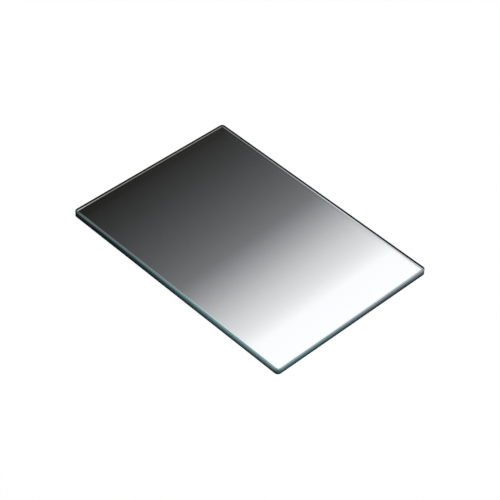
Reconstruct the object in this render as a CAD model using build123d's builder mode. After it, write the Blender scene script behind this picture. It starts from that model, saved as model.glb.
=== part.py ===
from build123d import *
import os

# Rectangular graduated neutral density filter plate, all sizes in millimetres.
# It lies flat on z = 0, centred on the origin, with the gradient running along X:
# the dark end is at -X and the clear end at +X.

plate_length = 143.5      # along the gradient, the nominal 5.65 inch side
plate_width = 101.6       # across the gradient, the nominal 4 inch side that slides in a tray
plate_thickness = 4.0
corner_radius = 2.0       # the four upright corners, ground round so that they enter a tray
arris_width = 0.45        # each 45 degree polished flat, measured along the face and down the edge

# The glass plate: one rounded blank, ground on every edge of both faces
with BuildPart() as filter_plate:
    with BuildSketch(Plane.XY):
        RectangleRounded(plate_length, plate_width, corner_radius)
    extrude(amount=plate_thickness)
    optical_faces = filter_plate.faces().filter_by(Axis.Z)
    chamfer(optical_faces.edges(), length=arris_width)

filter_plate.part.label = "filter_plate"

os.makedirs("parts", exist_ok=True)
export_step(filter_plate.part, "parts/filter_plate.step")
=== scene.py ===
import math
import bpy
import bmesh
from mathutils import Matrix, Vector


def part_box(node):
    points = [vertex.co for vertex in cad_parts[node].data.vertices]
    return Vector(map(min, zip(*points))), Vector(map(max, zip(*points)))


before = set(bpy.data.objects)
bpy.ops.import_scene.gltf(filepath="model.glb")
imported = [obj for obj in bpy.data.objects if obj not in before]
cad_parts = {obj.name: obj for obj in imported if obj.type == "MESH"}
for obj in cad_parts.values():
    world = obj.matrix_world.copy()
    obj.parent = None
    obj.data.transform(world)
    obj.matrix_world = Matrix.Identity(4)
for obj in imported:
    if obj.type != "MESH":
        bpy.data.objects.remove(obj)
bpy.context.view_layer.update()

plateLow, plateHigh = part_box("filter_plate")
plateLength = plateHigh.x - plateLow.x      # along the gradient, metres as everywhere here
plateWidth = plateHigh.y - plateLow.y
plateThickness = plateHigh.z - plateLow.z
mm = 0.001
scene = bpy.context.scene
scene.view_settings.view_transform = "Standard"


class Wire:                                 # one output socket, with maths as plain Python expressions
    def __init__(self, socket):
        self.socket = socket

    def node(self, kind, settings=None, values=None, output=0):     # any node, from its type
        tree = self.socket.id_data
        made = tree.nodes.new(kind)
        for name, value in (settings or {}).items():
            if name == "stops":
                setStops(made.color_ramp, value)
            else:
                setattr(made, name, value)
        for name, value in (values or {}).items():
            if isinstance(value, Wire):
                tree.links.new(value.socket, made.inputs[name])
            else:
                made.inputs[name].default_value = value
        return Wire(made.outputs[output]) if made.outputs else None

    def sibling(self, name):                # another output of the same node
        return Wire(self.socket.node.outputs[name])

    def ramp(self, stops):                  # a level that follows this one, through its stops
        return self.node("ShaderNodeValToRGB", {"stops": stops}, {0: self})

    def maths(self, operation, first, second):
        return self.node("ShaderNodeMath", {"operation": operation}, {0: first, 1: second})

    def atLeast(self, other):
        return self.maths("MAXIMUM", self, other)

    def atMost(self, other):
        return self.maths("MINIMUM", self, other)

    def __abs__(self):
        return self.maths("ABSOLUTE", self, 0.0)

    def __add__(self, other):
        return self.maths("ADD", self, other)

    def __radd__(self, other):
        return self.maths("ADD", other, self)

    def __sub__(self, other):
        return self.maths("SUBTRACT", self, other)

    def __rsub__(self, other):
        return self.maths("SUBTRACT", other, self)

    def __mul__(self, other):
        return self.maths("MULTIPLY", self, other)

    def __rmul__(self, other):
        return self.maths("MULTIPLY", other, self)

    def __truediv__(self, other):
        return self.maths("DIVIDE", self, other)

    def __pow__(self, other):
        return self.maths("POWER", self, other)

    def __rpow__(self, other):
        return self.maths("POWER", other, self)

    def __gt__(self, other):
        return self.maths("GREATER_THAN", self, other)

    def __lt__(self, other):
        return self.maths("LESS_THAN", self, other)


def setStops(ramp, stops):                  # stops are (place, level) pairs, from low to high
    for place, level in stops[1:-1]:
        ramp.elements.new(place)
    for element, (place, level) in zip(ramp.elements, stops):
        element.position = place
        element.color = (level, level, level, 1)


def startMaterial(name):                    # an empty node tree, and its Object coordinates to build on
    material = bpy.data.materials.new(name)
    material.use_nodes = True
    material.node_tree.nodes.clear()
    place = material.node_tree.nodes.new("ShaderNodeTexCoord")
    return material, Wire(place.outputs["Object"])


def mixShaders(factor, first, second):
    return first.node("ShaderNodeMixShader", None, {0: factor, 1: first, 2: second})


def tinted(level, tint):                    # a grey level that varies over the surface, in a tint
    red, green, blue = tint
    channels = {"Red": level * red, "Green": level * green, "Blue": level * blue}
    return level.node("ShaderNodeCombineColor", None, channels)


plateLook = {
    "index": 1.5,                           # refractive index of the glass
    "glassTint": (0.970, 0.980, 1.0),       # faint body colour of clear glass
    "straightTint": (0.95, 0.99, 1.0, 1),   # the same, for light that goes straight through
    "faceSkin": 0.005 * mm,                 # closer than this to the top or bottom is an optical face
    "faceRoot": 2,                          # at each face the shader takes this root of its colour
    # the fade, with places from 0 at the dark end to 1 at the clear end
    "fullDensity": 2.3,                     # optical density at the dark end, for light that crosses twice
    "crossOnce": 0.5,                       # share of it for lamp light, which crosses once
    "densityStops": [(0, 1), (0.02, 1), (0.05, 0.82), (0.1, 0.715), (0.2, 0.583), (0.28, 0.508),
                     (0.35, 0.456), (0.5, 0.343), (0.55, 0.266), (0.6, 0.202), (0.66, 0.141), (0.72, 0.096),
                     (0.8, 0.05), (0.865, 0.005), (1, 0)],
    "fadeTurn": 0.027,                      # the middle of the fade is this much out of square
    "redLoss": 0.016,                       # red is lost with density
    "blueGain": 0.05,                       # and blue is gained
    "blueEnd": 1.4,                         # up to this density
    # the upper face's share of the density, and the same along the side at low y
    "topStops": [(0, 0.3), (0.03, 0.32), (0.1, 0.35), (0.3, 0.37), (0.5, 0.35), (1, 0.34)],
    "sideStops": [(0, 0.58), (0.05, 0.63), (0.1, 0.54), (0.2, 0.46), (0.3, 0.42), (0.5, 0.36), (1, 0.34)],
    "sideFocus": 4,                         # how closely the second keeps to that side
    "stripReach": 2.15 * mm,                # there the upper coating is thinner this near the dark end
    "stripLoss": 0.84,
    # the margin of bare glass round the upper face
    "bareMargin": 1.05 * mm,                # the upper coating stops this far from the walls
    "cornerCoat": 0.27,                     # but runs on into the corners, from this corner level
    "marginRed": 0.60,                      # bare glass looks teal there
    "marginRedGain": 0.28,                  # and less so towards the clear end
    "marginShade": 0.8,                     # painted shade: at the clear end it is darker towards high y
    "marginSide": 0.15,                     # and a little along the long edges
    "rimReach": 0.85 * mm,                  # painted shade: the underside is darker this near the walls of that end
    "rimShade": 0.95,
    # the ground edge, whose levels below hold painted reflection and painted shade
    "arris": 0.45 * mm,
    # painted reflection: the arris level along the plate stands in for the light it mirrors
    "arrisStops": [(0, 0.06), (0.03, 0.13), (0.06, 0.132), (0.12, 0.119), (0.2, 0.123), (0.3, 0.147),
                   (0.5, 0.255), (0.65, 0.302), (0.8, 0.38), (0.9, 0.42), (1, 0.49)],
    "arrisTint": (0.60, 1.0, 1.04),
    "arrisEndFade": 0.3,                    # painted shade: at the clear end it is darker towards high y
    "arrisSideFade": 0.18,                  # and along the long edges
    # painted reflection at the top of the wall and painted shade towards its foot, along the plate
    "wallStops": [(0, 0.02), (0.04, 0.03), (0.1, 0.028), (0.2, 0.035), (0.3, 0.054), (0.5, 0.135),
                  (0.7, 0.242), (0.8, 0.292), (0.9, 0.338), (1, 0.365)],
    "wallTint": (0.45, 1.0, 1.12),
    "wallFloor": 0.012,                     # the least level of the wall
    "wallEndFade": 0.22,                    # painted shade: at the clear end it is darker towards high y
    "wallFall": 1.35,                       # how fast the painted shade darkens it downwards
    "wallDarkFall": 1.8,                    # and what the dark end adds to that
    "wallClearFall": 0.5,                   # the clear end, towards high y
    "wallSideFall": 0.6,                    # and the clear end, along the long edges
    "endRed": 0.15,                         # arris and wall are greyer at the clear end
    "endRedSide": 0.25,                     # the wall more so towards high y
    "arrisTipRed": 0.35,                    # and both at the very dark end
    "wallTipRed": 0.25,
    "tipFocus": 4,                          # how closely that keeps to the end
    "edgeGloss": 0.0,                       # none, because the painted levels above hold the shine
    "edgeRoughness": 0.4,
    "streakScale": (60, 60, 2600),          # polishing lines run round the edge
    "streakDetail": 3.0,
    "streakDepth": 0.44,
    # the upright corners, with painted shade
    "cornerReach": 3.5 * mm,                # how far along the edges they are felt
    "cornerShade": 0.5,                     # painted shade: their walls are darker
    "darkCornerShade": 0.4,                 # and more so at the dark end
    "cornerDim": 0.5,                       # painted shade: so is their arris
    "darkCornerDim": 1.6,
    "tipStart": 0.62 * mm,                  # painted highlight: at low y of the clear end the arris is light this far from both walls
    "tipLight": 0.6,
    # the far walls, seen from inside: painted black shade, with a light line near the foot where the table
    # shows through, at a painted level
    "insideLine": 0.52 * mm,                # height of that line
    "insideStops": [(0, 1), (0.05, 0.82), (0.1, 0.68), (0.3, 0.72), (0.5, 0.92), (0.7, 0.7), (0.9, 0.48),
                    (1, 0.62)],
    "insideTip": 0.43,                      # from this corner level on, the painted line climbs
    "insideClimb": 1.6 * mm,                # this steeply
    "insideShade": 1.2,                     # painted shade: the corners at low y darken it
}


def buildGlass(look):
    material, place = startMaterial("graduated_glass")
    axes = place.node("ShaderNodeSeparateXYZ", None, {0: place})
    across = axes.sibling("Y")
    height = axes.sibling("Z")
    fromInside = place.node("ShaderNodeNewGeometry", output="Backfacing")
    lightPath = place.node("ShaderNodeLightPath")

    # places on the plate
    along = axes / plateLength + 0.5        # 0 at the dark end, 1 at the clear end
    sideways = across / plateWidth + 0.5    # 0 at low y, 1 at high y
    middle = 4 * along * (1 - along)        # 1 in the middle of the plate, 0 at its ends
    atDark = 1 - along
    atDark = atDark * atDark * atDark       # 1 at the dark end, and near it
    atTip = atDark ** look["tipFocus"]
    atClear = along * along * along * along
    beside = (1 - sideways) ** look["sideFocus"]
    fromEnd = plateLength / 2 - abs(axes)
    fromSide = plateWidth / 2 - abs(across)
    fromWall = fromEnd.atMost(fromSide)
    onSide = fromSide < fromEnd             # nearer to a long edge than to a short one
    onTop = height > plateThickness / 2
    endPart = 1 - fromEnd / look["cornerReach"]
    sidePart = 1 - fromSide / look["cornerReach"]
    corner = endPart.atLeast(0.0) * sidePart.atLeast(0.0)   # the corner level, 1 where two walls meet

    # the density, shared between the two faces
    faded = along + (sideways - 0.5) * middle * middle * look["fadeTurn"]
    density = faded.ramp(look["densityStops"]) * look["fullDensity"]
    nearWall = fromWall < look["bareMargin"]
    coated = 1 - nearWall * (corner < look["cornerCoat"])
    bare = onTop * (1 - coated)
    topShare = along.ramp(look["topStops"])
    topShare = topShare + beside * (along.ramp(look["sideStops"]) - topShare)
    onStrip = beside * (along < look["stripReach"] / plateLength)
    topCoat = onTop * coated * topShare * (1 - onStrip * look["stripLoss"])
    share = (1 - onTop) * (1 - topShare) + topCoat

    # the optical faces, with painted shade near the walls at the clear end
    faceLevel = 10 ** (density * share * -look["faceRoot"])
    rim = (1 - onTop) * (fromWall < look["rimReach"]) * atClear * atClear
    margin = onTop * nearWall * atClear * (sideways * sideways + onSide * look["marginSide"])
    faceLevel = faceLevel * (1 - rim * look["rimShade"]) * (1 - margin * look["marginShade"])
    red, green, blue = look["glassTint"]
    red = red * (1 - bare * (1 - look["marginRed"] - along * look["marginRedGain"]))
    red = red * (1 - density * look["redLoss"])
    blue = blue * (1 + density * density * (look["blueEnd"] - density) * look["blueGain"])
    glass = place.node("ShaderNodeBsdfPrincipled", None, {
        "Base Color": tinted(faceLevel, (red, green, blue)), "Roughness": 0.0,
        "IOR": look["index"], "Transmission Weight": 1.0})

    # what the arris and the wall share
    streakPlace = place.node("ShaderNodeMapping", None, {"Vector": place, "Scale": look["streakScale"]})
    streak = place.node("ShaderNodeTexNoise", None,
                        {"Vector": streakPlace, "Scale": 1.0, "Detail": look["streakDetail"]})
    streakLevel = 1 + (streak - 0.5) * look["streakDepth"]
    endRed = atClear * look["endRed"]

    # the arris: a painted reflection, with painted corner shade and a painted highlight
    cornerDim = 1 - corner * corner * (look["cornerDim"] + atDark * look["darkCornerDim"])
    arrisPaintedSheen = along.ramp(look["arrisStops"]) * streakLevel * cornerDim.atLeast(0.0)
    arrisPaintedSheen = arrisPaintedSheen * (1 - atClear * sideways * look["arrisEndFade"])
    arrisPaintedSheen = arrisPaintedSheen * (1 - atClear * onSide * look["arrisSideFade"])
    # painted highlight on the arris near the corner at low y of the clear end
    arrisPaintedSheen = arrisPaintedSheen + (fromWall > look["tipStart"]) * atClear * (1 - sideways) * look["tipLight"]
    red, green, blue = look["arrisTint"]
    arrisColour = tinted(arrisPaintedSheen, (red + endRed + atTip * look["arrisTipRed"], green, blue))

    # the wall: painted reflection above, painted shade towards its foot and in the corners
    cornerShade = 1 - corner * (look["cornerShade"] + atDark * look["darkCornerShade"])
    wallHeight = plateThickness - 2 * look["arris"]
    wallRise = (height - look["arris"]) / wallHeight        # 0 at the foot of the wall, 1 at its top
    fall = look["wallFall"] + atDark * look["wallDarkFall"]
    fall = fall + atClear * sideways * look["wallClearFall"]
    fall = fall + atClear * atClear * onSide * look["wallSideFall"]
    wallPaintedLightAndShade = along.ramp(look["wallStops"]) * streakLevel * cornerShade
    wallPaintedLightAndShade = wallPaintedLightAndShade * (1 - atClear * sideways * look["wallEndFade"])
    wallPaintedLightAndShade = wallPaintedLightAndShade * wallRise.atLeast(0.0) ** fall + look["wallFloor"]
    wallRed = endRed + atClear * sideways * look["endRedSide"] + atTip * look["wallTipRed"]
    red, green, blue = look["wallTint"]
    wallColour = tinted(wallPaintedLightAndShade, (red + wallRed, green, blue))

    # the edge from outside: painted levels stand in for its shine, so its own gloss is off
    onArris = height > plateThickness - look["arris"]
    edgeColour = place.node("ShaderNodeMix", {"data_type": "RGBA"},
                            {0: onArris, 6: wallColour, 7: arrisColour}, output=2)
    paintedEdge = place.node("ShaderNodeBsdfPrincipled", None, {
        "Base Color": edgeColour, "Roughness": look["edgeRoughness"], "IOR": look["index"],
        "Specular IOR Level": look["edgeGloss"]})

    # the edge from inside: painted black shade, and a light line where the table shows through
    black = place.node("ShaderNodeBsdfDiffuse", None, {"Color": (0, 0, 0, 1)})
    clear = place.node("ShaderNodeBsdfTransparent", None, {"Color": look["straightTint"]})
    lineFoot = (corner - look["insideTip"]) * look["insideClimb"]
    lineFoot = lineFoot.atLeast(0.0)
    paintedLineLevel = along.ramp(look["insideStops"])
    paintedLineLevel = paintedLineLevel * (height > lineFoot) * (height < lineFoot + look["insideLine"])
    paintedLineLevel = paintedLineLevel * (1 - corner * beside * look["insideShade"])
    edge = mixShaders(fromInside, paintedEdge, mixShaders(paintedLineLevel, black, clear))

    # faces and edge together, and what diffuse light and shadows get through them
    onEdge = (height > look["faceSkin"]) * (height < plateThickness - look["faceSkin"])
    seen = mixShaders(onEdge, glass, edge)
    throughLevel = 10 ** (density * share * -look["crossOnce"])
    through = mixShaders(throughLevel, black, clear)
    seen = mixShaders(lightPath.sibling("Is Diffuse Ray"), seen, through)
    seen = mixShaders(lightPath.sibling("Is Shadow Ray"), seen, through)
    place.node("ShaderNodeOutputMaterial", None, {"Surface": seen})
    return material


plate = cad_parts["filter_plate"]
plate.material_slots[0].material = buildGlass(plateLook)
print("plate: glass, gradient and edges")


stageLook = {
    "reach": 4.0,                           # radius of the table
    "segments": 96,
    "gap": 0.05 * mm,                       # the plate rests on it without touching it everywhere
    "tableColour": (0.96, 0.96, 0.96, 1),
    "ownLight": 0.92,                       # share of plain white in what the camera sees of the table
    "underPlate": 1.06,                     # painted light: seen through glass the table glows this much brighter, standing in for light the glass throws back on to it
}


def buildTable(look):
    material, place = startMaterial("table_white")
    lightPath = place.node("ShaderNodeLightPath")
    matt = place.node("ShaderNodeBsdfDiffuse", None, {"Color": look["tableColour"]})
    camera = lightPath.sibling("Is Camera Ray")
    mirrored = lightPath.sibling("Is Glossy Ray")
    refracted = lightPath.sibling("Is Transmission Ray")
    white = place.node("ShaderNodeEmission", None, {"Strength": 1 + refracted * (look["underPlate"] - 1)})
    share = camera * look["ownLight"] + mirrored * look["ownLight"] + refracted
    surface = mixShaders(share.atMost(1.0), matt, white)
    place.node("ShaderNodeOutputMaterial", None, {"Surface": surface})
    shape = bmesh.new()
    bmesh.ops.create_circle(shape, cap_ends=True, segments=look["segments"], radius=look["reach"],
                            matrix=Matrix.Translation((0, 0, plateLow.z - look["gap"])))
    mesh = bpy.data.meshes.new("table")
    shape.to_mesh(mesh)
    shape.free()
    mesh.materials.append(material)
    table = bpy.data.objects.new("table", mesh)
    scene.collection.objects.link(table)


buildTable(stageLook)
print("table")


lightLook = {
    "skyLevel": 0.55,                       # even light from all round
    # what glass mirrors of the room, by height: 0 is the horizon, 1 straight up
    "mirrorStops": [(0, 0.75), (0.2, 0.48), (0.64, 0.34), (0.735, 0.015), (1, 0.1)],
    "lampPlace": (-0.25, 0.2, 1.6),
    "lampSize": 1.0,
    "lampPower": 13.5,
}


def buildLight(look):
    world = bpy.data.worlds.new("studio")
    scene.world = world
    world.use_nodes = True
    world.node_tree.nodes.clear()
    direction = Wire(world.node_tree.nodes.new("ShaderNodeTexCoord").outputs["Generated"])
    axes = direction.node("ShaderNodeSeparateXYZ", None, {0: direction})
    lightPath = direction.node("ShaderNodeLightPath")
    mirrored = lightPath.sibling("Is Glossy Ray")
    straight = lightPath.sibling("Is Camera Ray")
    straight = straight.atLeast(lightPath.sibling("Is Transmission Ray"))
    mirrorLevel = axes.sibling("Z").ramp(look["mirrorStops"])
    level = look["skyLevel"] + mirrored * (mirrorLevel - look["skyLevel"])
    level = level + straight * (1 - level)
    sky = direction.node("ShaderNodeBackground", None, {"Color": (1, 1, 1, 1), "Strength": level})
    direction.node("ShaderNodeOutputWorld", None, {"Surface": sky})
    lamp = bpy.data.lights.new("softLamp", "AREA")
    lamp.shape = "DISK"
    lamp.size = look["lampSize"]
    lamp.energy = look["lampPower"]
    holder = bpy.data.objects.new(lamp.name, lamp)
    holder.location = look["lampPlace"]
    holder.rotation_euler = holder.location.to_track_quat("Z", "Y").to_euler()
    holder.visible_glossy = False           # the glass mirrors the sky levels above instead
    holder.visible_transmission = False
    scene.collection.objects.link(holder)


buildLight(lightLook)
print("light")


cameraLook = {
    "azimuth": 42.934,                      # degrees round the plate, 0 looks along +Y
    "elevation": 43.661,
    "roll": 4.148,
    "distance": 942.8 * mm,                 # from the middle of the upper face
    "slide": (-0.74 * mm, 5.54 * mm),       # where that middle lies in the frame, right and up
    "lens": 138.76,                         # millimetres
}


def aimCamera(look):
    camera = bpy.data.objects.new("camera", bpy.data.cameras.new("camera"))
    camera.data.lens = look["lens"]
    turn = Matrix.Rotation(math.radians(look["azimuth"]), 4, "Z")
    tilt = Matrix.Rotation(math.radians(90 - look["elevation"]), 4, "X")
    roll = Matrix.Rotation(math.radians(look["roll"]), 4, "Z")
    right, up = look["slide"]
    away = Matrix.Translation((-right, -up, look["distance"]))
    camera.matrix_world = Matrix.Translation((0, 0, plateHigh.z)) @ turn @ tilt @ roll @ away
    scene.collection.objects.link(camera)
    scene.camera = camera


aimCamera(cameraLook)
print("camera")
